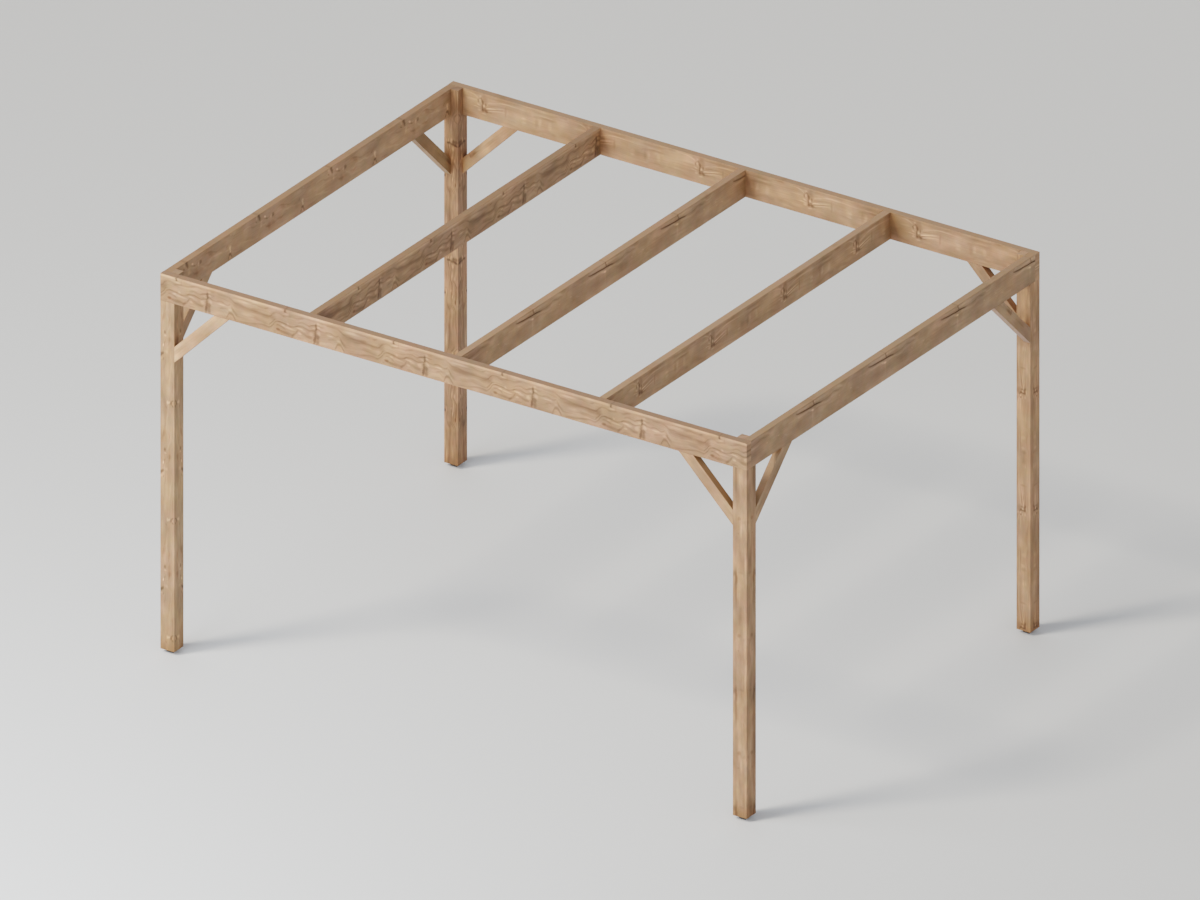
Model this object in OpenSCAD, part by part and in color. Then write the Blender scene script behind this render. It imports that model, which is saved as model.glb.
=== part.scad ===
// Free-standing timber pergola frame with a flat top: four notched posts on foot pads, a
// ring of beams, three rafters between the front and back beams, and two knee braces at
// each post. Millimetres, +Z up, front towards -Y, origin on the ground at the centre.

/* [Frame] */
// Length along X, over the outer faces of the posts
frame_length = 4000; // [2400:10:6000]
// Depth along Y, over the outer faces of the posts
frame_depth = 3000; // [2000:10:5000]
// Height of the top of the beams above the ground
frame_height = 2390; // [1800:1:3200]

/* [Posts] */
// Side of the square posts
post_size = 95; // [80:1:150]

/* [Foot pads] */
// Side of the square pad under each post
pad_size = 45; // [30:1:80]
// Height of the pad, which keeps the end grain off the wet ground
pad_height = 22; // [5:1:30]

/* [Beams] */
// Thickness of the front, back and side beams
beam_thickness = 45; // [30:1:60]
// Depth of these beams, from top to bottom
beam_depth = 170; // [100:1:240]

/* [Rafters] */
// Thickness of the rafters
rafter_thickness = 45; // [30:1:80]
// Depth of the rafters, from top to bottom
rafter_depth = 170; // [80:1:240]

/* [Knee braces] */
// Reach of a brace's outer edge, along the beam and down the post
brace_reach = 370; // [200:1:600]
// Width of a brace across its face
brace_width = 70; // [40:1:120]
// Thickness of a brace
brace_thickness = 45; // [30:1:60]

/* [Hidden] */

LEFT = -1;
RIGHT = 1;
FRONT = -1;
BACK = 1;

// Each of the three rafters and the two side beams is one bay from the next
rafter_bays = 4;

// Outer corner of the front left post, which every corner piece is drawn at
corner_x = -frame_length / 2;
corner_y = -frame_depth / 2;

// Underside of the beams, where the post shoulders and the braces meet them
beam_bottom = frame_height - beam_depth;
post_height = frame_height - pad_height;
shoulder_height = beam_bottom - pad_height;

// The rafters and side beams fill the space between the front and back beams
between_beams = frame_depth - 2 * beam_thickness;
rafter_spacing = (frame_length - beam_thickness) / rafter_bays;

// Length of a brace's square-to-the-post cut, for a brace at 45 degrees
brace_cut = brace_width * sqrt(2);

// How far a cutting block runs past the wood that it cuts
overcut = 10;

timber_colour = "#bd9f7f";
pad_colour = "#3b3a38";

// Moves a piece drawn at the front left corner to another corner
module at_corner(side, end) {
    mirror([side == RIGHT ? 1 : 0, 0, 0])
        mirror([0, end == BACK ? 1 : 0, 0])
            children();
}

// Square post, rebated on both outer sides so that the beams sit on its shoulders
// and only the inner quarter runs up to the top
module post(side, end) {
    rebate = beam_thickness + overcut;
    across = post_size + 2 * overcut;
    up = beam_depth + overcut;
    color(timber_colour)
        at_corner(side, end)
            translate([corner_x, corner_y, pad_height])
                difference() {
                    cube([post_size, post_size, post_height]);
                    translate([-overcut, -overcut, shoulder_height])
                        cube([across, rebate, up]);
                    translate([-overcut, -overcut, shoulder_height])
                        cube([rebate, across, up]);
                }
}

// Pad centred under a post
module foot_pad(side, end) {
    inset = (post_size - pad_size) / 2;
    color(pad_colour)
        at_corner(side, end)
            translate([corner_x + inset, corner_y + inset, 0])
                cube([pad_size, pad_size, pad_height]);
}

// Front or back beam, the full length of the frame
module long_beam(end) {
    color(timber_colour)
        at_corner(LEFT, end)
            translate([corner_x, corner_y, beam_bottom])
                cube([frame_length, beam_thickness, beam_depth]);
}

// Left or right beam, butted between the front and back beams
module side_beam(side) {
    color(timber_colour)
        at_corner(side, FRONT)
            translate([corner_x, corner_y + beam_thickness, beam_bottom])
                cube([beam_thickness, between_beams, beam_depth]);
}

// Rafter, counted in bays from the middle of the frame, flush with the beams' top
module rafter(bay) {
    middle = bay * rafter_spacing;
    color(timber_colour)
        translate([
            middle - rafter_thickness / 2,
            corner_y + beam_thickness,
            frame_height - rafter_depth
        ])
            cube([rafter_thickness, between_beams, rafter_depth]);
}

// Side view of a brace at 45 degrees, with the corner of post and beam at the origin
module brace_outline() {
    polygon([
        [brace_reach, 0],
        [brace_reach - brace_cut, 0],
        [0, brace_cut - brace_reach],
        [0, -brace_reach]
    ]);
}

// Brace under the front or back beam, flush with the beam's outer face
module long_brace(side, end) {
    color(timber_colour)
        at_corner(side, end)
            translate([corner_x + post_size, corner_y + brace_thickness, beam_bottom])
                rotate([90, 0, 0])
                    linear_extrude(brace_thickness)
                        brace_outline();
}

// Brace under the left or right beam, flush with the beam's outer face
module side_brace(side, end) {
    color(timber_colour)
        at_corner(side, end)
            translate([corner_x, corner_y + post_size, beam_bottom])
                rotate([90, 0, 90])
                    linear_extrude(brace_thickness)
                        brace_outline();
}

post(LEFT, FRONT);  // post_front_left
post(RIGHT, FRONT);  // post_front_right
post(LEFT, BACK);  // post_back_left
post(RIGHT, BACK);  // post_back_right

foot_pad(LEFT, FRONT);  // pad_front_left
foot_pad(RIGHT, FRONT);  // pad_front_right
foot_pad(LEFT, BACK);  // pad_back_left
foot_pad(RIGHT, BACK);  // pad_back_right

long_beam(FRONT);  // front_beam
long_beam(BACK);  // back_beam
side_beam(LEFT);  // left_beam
side_beam(RIGHT);  // right_beam

rafter(-1);  // rafter_left
rafter(0);  // rafter_middle
rafter(1);  // rafter_right

long_brace(LEFT, FRONT);  // front_brace_left
long_brace(RIGHT, FRONT);  // front_brace_right
long_brace(LEFT, BACK);  // back_brace_left
long_brace(RIGHT, BACK);  // back_brace_right
side_brace(LEFT, FRONT);  // left_brace_front
side_brace(LEFT, BACK);  // left_brace_back
side_brace(RIGHT, FRONT);  // right_brace_front
side_brace(RIGHT, BACK);  // right_brace_back
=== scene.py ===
import math

import bpy
from mathutils import Matrix, Vector


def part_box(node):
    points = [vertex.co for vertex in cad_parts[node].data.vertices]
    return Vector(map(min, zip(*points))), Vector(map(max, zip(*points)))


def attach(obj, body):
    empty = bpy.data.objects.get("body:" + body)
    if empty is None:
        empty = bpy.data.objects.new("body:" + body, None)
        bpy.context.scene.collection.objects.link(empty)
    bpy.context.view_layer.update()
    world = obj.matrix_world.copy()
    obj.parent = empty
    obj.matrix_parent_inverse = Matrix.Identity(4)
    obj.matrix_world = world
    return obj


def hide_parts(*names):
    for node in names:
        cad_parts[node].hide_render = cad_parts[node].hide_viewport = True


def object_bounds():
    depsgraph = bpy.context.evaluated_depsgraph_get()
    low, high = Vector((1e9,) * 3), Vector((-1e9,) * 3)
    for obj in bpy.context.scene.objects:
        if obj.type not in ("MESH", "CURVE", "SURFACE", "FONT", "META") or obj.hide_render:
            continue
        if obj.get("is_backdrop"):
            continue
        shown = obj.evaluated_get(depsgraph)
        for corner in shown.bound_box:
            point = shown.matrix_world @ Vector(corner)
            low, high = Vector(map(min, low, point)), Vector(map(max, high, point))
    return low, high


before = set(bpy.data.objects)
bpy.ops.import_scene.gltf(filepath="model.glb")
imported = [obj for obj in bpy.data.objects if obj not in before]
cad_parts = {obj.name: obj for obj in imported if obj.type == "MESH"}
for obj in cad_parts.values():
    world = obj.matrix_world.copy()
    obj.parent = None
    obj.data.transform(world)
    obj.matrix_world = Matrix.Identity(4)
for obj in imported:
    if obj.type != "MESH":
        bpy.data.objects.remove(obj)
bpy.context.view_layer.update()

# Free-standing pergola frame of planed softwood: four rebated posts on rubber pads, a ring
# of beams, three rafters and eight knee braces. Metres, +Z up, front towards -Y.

scene = bpy.context.scene

# ---------------------------------------------------------------- sizes, in metres

MM = 0.001
ARRIS = 1.5 * MM              # rounding of the planed long edges
PAD_ARRIS = 2.5 * MM
BRACE_WIDTH = 70.0 * MM       # across a knee brace, which its box doesn't give
BOARD = 170.0 * MM            # depth of a beam, the width that the wood figures are drawn on
THICKNESS = 45.0 * MM         # of the boards, and so of the rebates that take them
POST_SIDE = 95.0 * MM
WHORL = 741.0 * MM            # along the grain, from one whorl of branches to the next
AS_IT_IS = (1.0, 1.0, 1.0)    # a tone or tint that changes nothing


# ---------------------------------------------------------------- small helpers

def add(tree, kind, inputs=None, **settings):
    """Adds a node, sets its settings, and fills or links its inputs. Given as an input, a
    node stands for its first output."""
    node = tree.nodes.new(kind)
    for key, value in settings.items():
        setattr(node, key, value)
    for key, value in (inputs or {}).items():
        for item in value if isinstance(value, list) else [value]:
            if isinstance(item, bpy.types.Node):
                item = item.outputs[0]
            if isinstance(item, bpy.types.NodeSocket):
                tree.links.new(item, node.inputs[key])
            else:
                node.inputs[key].default_value = item
    return node


def paint(code):
    """A linear RGBA colour from an sRGB hex code."""
    parts = [int(code[i:i + 2], 16) / 255 for i in (1, 3, 5)]
    linear = [c / 12.92 if c <= 0.04045 else ((c + 0.055) / 1.055) ** 2.4 for c in parts]
    return (*linear, 1.0)


# ---------------------------------------------------------------- timber

def timber_tree():
    """Geometry Nodes for one planed timber, drawn along Z with its width on X and depth on Y.

    The long arrises are eased. The ends are cut square or mitred, a post's head is rebated on
    its two outer sides, and drying checks open along the two wide faces."""
    tree = bpy.data.node_groups.new("planed timber", "GeometryNodeTree")
    wanted = {
        "Length": 1.0,
        "Width": BOARD,
        "Depth": THICKNESS,
        "Arris": ARRIS,
        "Mitre": 0.0,
        "Rebate": 0.0,
        "Rebate height": BOARD,
        "Rebate sides": (1.0, 1.0, 0.0),
        "Checks": 0,
        "First check": 0.3,
        "Check spacing": WHORL,
        "Check size": (0.0017, 0.010, 0.125),
        "Check across": 0.032,
        "Check slope": 0.067,
        "Grain start": 0.0,
        "Grain stretch": 1.0,
        "Grain fold": 0.0,
        "Tone": AS_IT_IS,
        "Low side tone": AS_IT_IS,
        "High side tone": AS_IT_IS,
        "Place": (0.0, 0.0, 0.0),
    }
    kinds = {float: "NodeSocketFloat", int: "NodeSocketInt", tuple: "NodeSocketVector"}
    tree.interface.new_socket("Geometry", in_out="OUTPUT", socket_type="NodeSocketGeometry")
    for name, value in wanted.items():
        socket = tree.interface.new_socket(name, in_out="INPUT", socket_type=kinds[type(value)])
        socket.default_value = value
    tree.interface.new_socket("Turn", in_out="INPUT", socket_type="NodeSocketRotation")
    tree.interface.new_socket("Finish", in_out="INPUT", socket_type="NodeSocketMaterial")
    size = add(tree, "NodeGroupInput").outputs

    # Section: a rectangle with rounded corners, its low corner at the origin
    section = add(tree, "GeometryNodeCurvePrimitiveQuadrilateral",
                  {"Width": size["Width"], "Height": size["Depth"]})
    rounded = add(tree, "GeometryNodeFilletCurve", {"Curve": section, "Radius": size["Arris"],
                                                    "Count": 4}, mode="POLY")
    filled = add(tree, "GeometryNodeFillCurve", {"Curve": rounded}, mode="NGONS")
    full_size = add(tree, "ShaderNodeCombineXYZ", {"X": size["Width"], "Y": size["Depth"]})
    half_size = add(tree, "ShaderNodeVectorMath", {0: full_size, "Scale": 0.5}, operation="SCALE")
    foot = add(tree, "GeometryNodeTransform", {"Geometry": filled, "Translation": half_size})

    # Drawn out to the length, with the foot turned over to close it
    upward = add(tree, "ShaderNodeCombineXYZ", {"Z": size["Length"]})
    drawn = add(tree, "GeometryNodeExtrudeMesh", {"Mesh": foot, "Offset": upward,
                                                  "Individual": False})
    under = add(tree, "GeometryNodeFlipFaces", {"Mesh": foot})
    closed = add(tree, "GeometryNodeJoinGeometry", {0: [drawn, under]})
    solid = add(tree, "GeometryNodeMergeByDistance", {"Geometry": closed, "Distance": 1e-6})

    # Mitred ends: both ends lean towards each other across the width
    at = add(tree, "ShaderNodeSeparateXYZ", {0: add(tree, "GeometryNodeInputPosition")})
    share = add(tree, "ShaderNodeMath", {0: at.outputs["Z"], 1: size["Length"]}, operation="DIVIDE")
    lean = add(tree, "ShaderNodeMath", {0: share, 1: -2.0, 2: 1.0}, operation="MULTIPLY_ADD")
    lean = add(tree, "ShaderNodeMath", {0: lean, 1: at.outputs["X"]}, operation="MULTIPLY")
    lean = add(tree, "ShaderNodeMath", {0: lean, 1: size["Mitre"]}, operation="MULTIPLY")
    moved = add(tree, "ShaderNodeCombineXYZ", {"Z": lean})
    solid = add(tree, "GeometryNodeSetPosition", {"Geometry": solid, "Offset": moved})

    # Rebates on two outer sides of a post's head. A cutter stands twice the head's height,
    # centred on the top end, and its inner face lies one rebate in from the outer side.
    sides = add(tree, "ShaderNodeSeparateXYZ", {0: size["Rebate sides"]})
    twice = add(tree, "ShaderNodeMath", {0: size["Rebate height"], 1: 2.0}, operation="MULTIPLY")
    wide = add(tree, "ShaderNodeMath", {0: size["Width"], 1: 2.0}, operation="MULTIPLY")
    slab = add(tree, "ShaderNodeMath", {0: size["Rebate"], 1: 2.0}, operation="MULTIPLY")
    middle = add(tree, "ShaderNodeSeparateXYZ", {0: half_size})
    rebated = solid
    for axis, extent in (("X", "Width"), ("Y", "Depth")):
        block = {"X": wide, "Y": wide, "Z": twice}
        block[axis] = slab
        block = add(tree, "ShaderNodeCombineXYZ", block)
        side = add(tree, "ShaderNodeMath", {0: sides.outputs[axis], 1: size[extent]},
                   operation="MULTIPLY")
        where = {"X": middle.outputs["X"], "Y": middle.outputs["Y"], "Z": size["Length"]}
        where[axis] = side
        where = add(tree, "ShaderNodeCombineXYZ", where)
        cube = add(tree, "GeometryNodeMeshCube", {"Size": block})
        cutter = add(tree, "GeometryNodeTransform", {"Geometry": cube, "Translation": where})
        rebated = add(tree, "GeometryNodeMeshBoolean", {0: rebated, 1: cutter},
                      operation="DIFFERENCE", solver="MANIFOLD")
    has_rebate = add(tree, "FunctionNodeCompare", {0: size["Rebate"], 1: 0.0},
                     operation="GREATER_THAN")
    solid = add(tree, "GeometryNodeSwitch", {"Switch": has_rebate, "False": solid, "True": rebated},
                input_type="GEOMETRY")

    # Drying checks: a row of thin spindles sunk in both wide faces
    cuts = []
    spindle = add(tree, "GeometryNodeMeshUVSphere", {"Segments": 12, "Rings": 12, "Radius": 1.0})
    for face in (0.0, 1.0):
        deep = add(tree, "ShaderNodeMath", {0: size["Depth"], 1: face}, operation="MULTIPLY")
        first = add(tree, "ShaderNodeCombineXYZ", {"X": size["Check across"], "Y": deep,
                                                   "Z": size["First check"]})
        step = add(tree, "ShaderNodeCombineXYZ", {"Z": size["Check spacing"]})
        row = add(tree, "GeometryNodeMeshLine", {"Count": size["Checks"], "Start Location": first,
                                                 "Offset": step}, mode="OFFSET", count_mode="TOTAL")
        slant = add(tree, "ShaderNodeCombineXYZ", {"Y": size["Check slope"]})
        cuts.append(add(tree, "GeometryNodeInstanceOnPoints",
                        {"Points": row, "Instance": spindle, "Rotation": slant,
                         "Scale": size["Check size"]}))
    cuts = add(tree, "GeometryNodeJoinGeometry", {0: cuts})
    cuts = add(tree, "GeometryNodeRealizeInstances", {0: cuts})
    checked = add(tree, "GeometryNodeMeshBoolean", {0: solid, 1: cuts}, solver="MANIFOLD",
                  operation="DIFFERENCE")
    has_checks = add(tree, "FunctionNodeCompare", {"A": size["Checks"], "B": 0}, data_type="INT",
                     operation="GREATER_THAN")
    solid = add(tree, "GeometryNodeSwitch", {"Switch": has_checks, "False": solid, "True": checked},
                input_type="GEOMETRY")

    # Where each point lies in the board: along the grain, across the figure, and in depth.
    # A folded figure runs round a post's corner and is mirrored on the next face.
    at = add(tree, "ShaderNodeSeparateXYZ", {0: add(tree, "GeometryNodeInputPosition")})
    along = add(tree, "ShaderNodeMath", {0: at.outputs["Z"], 1: size["Grain start"]},
                operation="ADD")
    folded = add(tree, "ShaderNodeMath", {0: at.outputs["Y"], 1: size["Grain fold"]},
                 operation="MULTIPLY")
    across = add(tree, "ShaderNodeMath", {0: at.outputs["X"], 1: folded}, operation="SUBTRACT")
    across = add(tree, "ShaderNodeMath", {0: across, 1: size["Grain stretch"]},
                 operation="MULTIPLY")
    grain = add(tree, "ShaderNodeCombineXYZ", {"X": along, "Y": across, "Z": at.outputs["Y"]})
    normal = add(tree, "GeometryNodeInputNormal")
    facing = add(tree, "ShaderNodeVectorMath", {0: normal}, operation="ABSOLUTE")
    facing = add(tree, "ShaderNodeSeparateXYZ", {0: facing})
    is_end = add(tree, "ShaderNodeMath", {0: facing.outputs["Z"], 1: 0.5}, operation="GREATER_THAN")

    # The board's own tone, partly painted light and shade, and the painted light and shade
    # on its two sides across X
    tone = size["Tone"]
    sideways = add(tree, "ShaderNodeSeparateXYZ", {0: normal}).outputs["X"]
    for way, side in ((-1.0, "Low side tone"), (1.0, "High side tone")):
        turned = add(tree, "ShaderNodeMath", {0: sideways, 1: way}, operation="MULTIPLY")
        on_side = add(tree, "ShaderNodeMath", {0: turned, 1: 0.5}, operation="GREATER_THAN")
        own = add(tree, "ShaderNodeMix", {0: on_side, 4: AS_IT_IS, 5: size[side]},
                  data_type="VECTOR")
        tone = add(tree, "ShaderNodeVectorMath", {0: tone, 1: own.outputs[1]}, operation="MULTIPLY")

    # The narrow edges of a board, if it isn't square
    slim = add(tree, "ShaderNodeMath", {0: size["Depth"], 1: 1.3}, operation="MULTIPLY")
    slim = add(tree, "ShaderNodeMath", {0: size["Width"], 1: slim}, operation="GREATER_THAN")
    is_edge = add(tree, "ShaderNodeMath", {0: facing.outputs["X"], 1: 0.5},
                  operation="GREATER_THAN")
    is_edge = add(tree, "ShaderNodeMath", {0: is_edge, 1: slim}, operation="MULTIPLY")

    # What the finish reads
    for name, value, kind, domain in (("grain", grain, "FLOAT_VECTOR", "POINT"),
                                      ("end_grain", is_end, "FLOAT", "FACE"),
                                      ("tone", tone, "FLOAT_VECTOR", "FACE"),
                                      ("narrow_edge", is_edge, "FLOAT", "FACE")):
        solid = add(tree, "GeometryNodeStoreNamedAttribute",
                    {"Geometry": solid, "Name": name, "Value": value}, data_type=kind,
                    domain=domain)

    flat = add(tree, "ShaderNodeMath", {0: facing.outputs["X"], 1: facing.outputs["Y"]},
               operation="MAXIMUM")
    flat = add(tree, "ShaderNodeMath", {0: flat, 1: facing.outputs["Z"]}, operation="MAXIMUM")
    round_face = add(tree, "ShaderNodeMath", {0: flat, 1: 0.9995}, operation="LESS_THAN")
    long_face = add(tree, "ShaderNodeMath", {0: facing.outputs["Z"], 1: 0.3}, operation="LESS_THAN")
    smooth = add(tree, "FunctionNodeBooleanMath", {0: round_face, 1: long_face}, operation="AND")
    solid = add(tree, "GeometryNodeSetShadeSmooth", {0: solid, "Shade Smooth": False},
                domain="FACE")
    solid = add(tree, "GeometryNodeSetShadeSmooth", {0: solid, "Selection": smooth,
                                                     "Shade Smooth": True}, domain="FACE")
    angle = add(tree, "GeometryNodeInputMeshEdgeAngle")
    sharp = add(tree, "FunctionNodeCompare", {0: angle, 1: math.radians(32)},
                operation="GREATER_THAN")
    solid = add(tree, "GeometryNodeSetShadeSmooth", {0: solid, "Selection": sharp,
                                                     "Shade Smooth": False}, domain="EDGE")
    solid = add(tree, "GeometryNodeTransform", {"Geometry": solid, "Translation": size["Place"],
                                                "Rotation": size["Turn"]})
    solid = add(tree, "GeometryNodeRealizeInstances", {0: solid})
    solid = add(tree, "GeometryNodeSetMaterial", {"Geometry": solid, "Material": size["Finish"]})
    add(tree, "NodeGroupOutput", {0: solid})
    return tree


def grow(tree, name, values):
    """Runs a tree with the given inputs, and keeps its result as a plain mesh object."""
    seed = bpy.data.objects.new(name + "_seed", bpy.data.meshes.new(name + "_seed"))
    scene.collection.objects.link(seed)
    modifier = seed.modifiers.new("build", "NODES")
    modifier.node_group = tree
    for socket in tree.interface.items_tree:
        if socket.name in values:
            modifier[socket.identifier] = values[socket.name]
    bpy.context.view_layer.update()
    ready = seed.evaluated_get(bpy.context.evaluated_depsgraph_get())
    mesh = bpy.data.meshes.new_from_object(ready)
    mesh.name = name
    bpy.data.objects.remove(seed)
    piece = bpy.data.objects.new(name, mesh)
    scene.collection.objects.link(piece)
    return piece


# ---------------------------------------------------------------- materials

# Each figure is what the saw opened in one board, drawn over one whorl spacing in millimetres,
# along the grain and down across the board. A shade is a step of darkness: 0 is the common
# colour, each step up is a third darker, and below 0 is paler.
# "flow" is how far the fibres swing away from straight, near the top and low down;
# "lines" are growth lines and cracks: half width, then (along, across, shades);
# "spots" are knots, stains and pale patches: (along, across, half length, half width,
# slope in degrees, shades); "red" is where heartwood warms the colour, in the same order.

WAVY = {
    "flow_top": [
        (0, 0.65), (12, 0.8), (32, 0.15), (60, -0.12), (140, 0.05), (200, -0.12), (230, -0.33),
        (262, -0.3), (300, -0.2), (345, -0.3), (420, -0.2), (480, 0), (510, 0.5), (560, 0.7),
        (620, 0.75), (680, 0.55), (741, 0.65)],
    "flow_low": [
        (0, 0.62), (8, 0.6), (22, 0.42), (42, 0.09), (62, 0), (100, 0.03), (150, 0.11), (185, 0.06),
        (215, -0.11), (240, -0.08), (280, 0.04), (305, -0.08), (330, -0.18), (352, -0.1), (382, -0.12),
        (420, -0.18), (450, -0.03), (475, -0.1), (492, 0.1), (510, 0.52), (530, 0.75), (600, 0.7),
        (660, 0.58), (741, 0.62)],
    "lines": [
        (6, [(0, 141, 1.2), (12, 134, 1.2), (22, 125, 1.5), (32, 113, 1.5), (42, 98, 1.2),
          (52, 91, 1.2), (70, 87, 1.8), (90, 89, 1.4), (110, 92, 1.5), (128, 96, 0.9),
          (148, 100, 1.1), (165, 97, 0.8), (178, 91, 0.9), (188, 86, 1.8), (200, 81, 1.4),
          (228, 79, 1.1), (250, 84, 1.2), (275, 89, 1.2), (295, 84, 1.2), (315, 80, 1.2),
          (326, 66, 1.4), (345, 70, 1.2), (365, 76, 0.7), (380, 76, 0.7), (392, 72, 1.1),
          (410, 69, 0.8), (425, 71, 0.9), (440, 77, 0.5), (455, 80, 0.7), (468, 76, 0.9),
          (480, 70, 0.1), (530, 158, 0.1), (560, 157, 0.7), (590, 154, 0.8), (620, 150, 0.8),
          (645, 145, 1.1), (670, 140, 1.2), (700, 137, 1.1), (741, 141, 1.2)]),
        (6, [(0, 124, 0.7), (8, 118, 1.4), (18, 107, 1.5), (28, 97, 1.4), (37, 84, 1.1), (50, 78, 0.5),
          (70, 74, 0), (190, 64, 0.3), (210, 58, 0.8), (235, 54, 0.9), (255, 60, 0.8), (270, 62, 1.1),
          (285, 56, 1.6), (300, 51, 1.8), (318, 46, 1.6), (330, 44, 0.5), (342, 46, 0.8),
          (360, 48, 0.8), (380, 46, 0.1), (400, 114, 0.1), (412, 111, 0.8), (432, 106, 0.8),
          (455, 103, 0.4), (475, 100, 0), (741, 124, 0.4)]),
        (7.2, [(0, 72, 1.1), (10, 68, 1.1), (20, 58, 1.1), (28, 47, 1.1), (38, 40, 1.1), (52, 35, 0.8),
          (68, 34, 0.7), (85, 39, 0.7), (100, 44, 1.1), (120, 41, 0.8), (140, 38, 0.9),
          (160, 37, 0.4), (185, 38, 0.7), (205, 33, 0.9), (220, 28, 1.1), (238, 24, 0.8),
          (255, 22, 0.3), (335, 24, 0.3), (360, 24, 0.5), (380, 22, 0.3), (400, 28, 0.7),
          (430, 27, 0.8), (460, 27, 0.5), (480, 36, 0.7), (495, 44, 0.9), (512, 52, 0.8),
          (535, 50, 0.7), (570, 60, 0.4), (741, 72, 0.8)]),
        (18, [(0, 76, 0.8), (30, 76, 0.4), (50, 74, 0), (480, 60, 0), (512, 65, 0.8), (560, 68, 1.2),
          (600, 71, 1.2), (640, 67, 1.2), (680, 72, 0.8), (712, 79, 1.1), (741, 76, 1.1)]),
        (4.8, [(0, 122, 0), (46, 120, 0.1), (56, 112, 0.9), (66, 110, 1.1), (78, 113, 0.7),
          (90, 116, 0.8), (101, 120, 1.2), (112, 128, 0.4), (125, 136, 0), (590, 30, 0),
          (625, 28, 0.4), (650, 24, 0.7), (670, 29, 0.8), (700, 30, 0.5), (722, 28, 1.4),
          (736, 24, 0.4), (741, 24, 0)]),
        (10.8, [(0, 155, 0), (140, 155, 0.3), (155, 154, 1.4), (165, 148, 2), (178, 138, 1.2),
          (188, 125, 1.2), (197, 112, 0.7), (206, 106, 0.3), (222, 116, 0.5), (240, 122, 0.7),
          (258, 130, 1.1), (274, 132, 1.2), (292, 132, 0.7), (302, 134, 0), (446, 162, 0.4),
          (455, 152, 1.4), (461, 140, 1.5), (468, 129, 1.5), (478, 125, 1.5), (490, 129, 1.4),
          (501, 141, 1.6), (510, 153, 1.6), (520, 160, 0.4), (741, 155, 0)]),
        (13.2, [(0, 80, 0), (474, 76, 0.1), (484, 86, 0.5), (491, 94, 1.2), (498, 104, 1.5),
          (506, 113, 1.1), (516, 121, 1.1), (530, 128, 0.4), (560, 126, 0), (630, 106, 0.3),
          (660, 108, 0.8), (690, 110, 0.7), (725, 118, 0.4), (741, 118, 0)]),
        # Painted highlight: a pale band just under the top edge, where the rounded arris catches the
        # light
        (11, [(0, 6, -1.3), (80, 6, -1.2), (105, 6, -0.6), (150, 6, -0.6), (180, 6, -1), (240, 6, -1.1),
          (340, 6, -1.4), (430, 6, -1.1), (475, 6, -0.5), (510, 6, -0.7), (560, 7, -1.1),
          (640, 6, -1.3), (741, 6, -1.3)]),
    ],
    "spots": [
        (109, 8, 14, 8, 90, 2.4), (111, 17, 13, 5, 0, 1.2), (143, 20, 22, 3, 90, 0.5),
        (62, 138, 17, 10, 0, 2.1), (84, 142, 8, 4, 0, 0.8), (115, 146, 52, 11, 0, 1),
        (321, 50, 17, 9, 90, 2), (322, 70, 14, 8, 95, 1.6), (316, 98, 22, 9, 92, 1.5),
        (332, 114, 17, 15, 60, 1.7), (313, 138, 30, 10, 100, 2.8), (332, 144, 24, 14, 90, 1.5),
        (26, 64, 24, 34, 0, 0.7), (215, 155, 26, 8, 0, 0.6), (38, 155, 12, 7, 0, 0.4),
        (118, 29, 24, 6, 0, -0.8), (130, 86, 11, 9, 40, -0.7), (95, 104, 16, 6, 0, -1.1),
        (138, 112, 48, 7, 4, -0.9), (212, 95, 26, 7, 0, -1.2), (211, 127, 15, 8, 0, -0.9),
        (236, 103, 24, 10, 0, -0.7), (288, 108, 18, 16, 0, -1), (341, 90, 15, 12, 40, -0.8),
        (338, 53, 12, 7, 20, -0.8), (303, 67, 10, 5, 0, -0.7), (418, 87, 30, 6, 0, -1),
        (334, 30, 12, 9, 0, -0.6), (475, 105, 16, 8, 0, -0.6), (560, 31, 70, 9, 0, -0.8),
        (590, 104, 50, 10, 0, -0.4), (400, 140, 60, 12, 0, -0.2)],
    "red": [
        (62, 139, 20, 12, 0, 1), (90, 140, 40, 16, 0, 0.4), (478, 150, 26, 20, 0, 0.5),
        (313, 138, 30, 12, 100, 0.5), (470, 8, 40, 12, 0, 0.2)],
}

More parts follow.
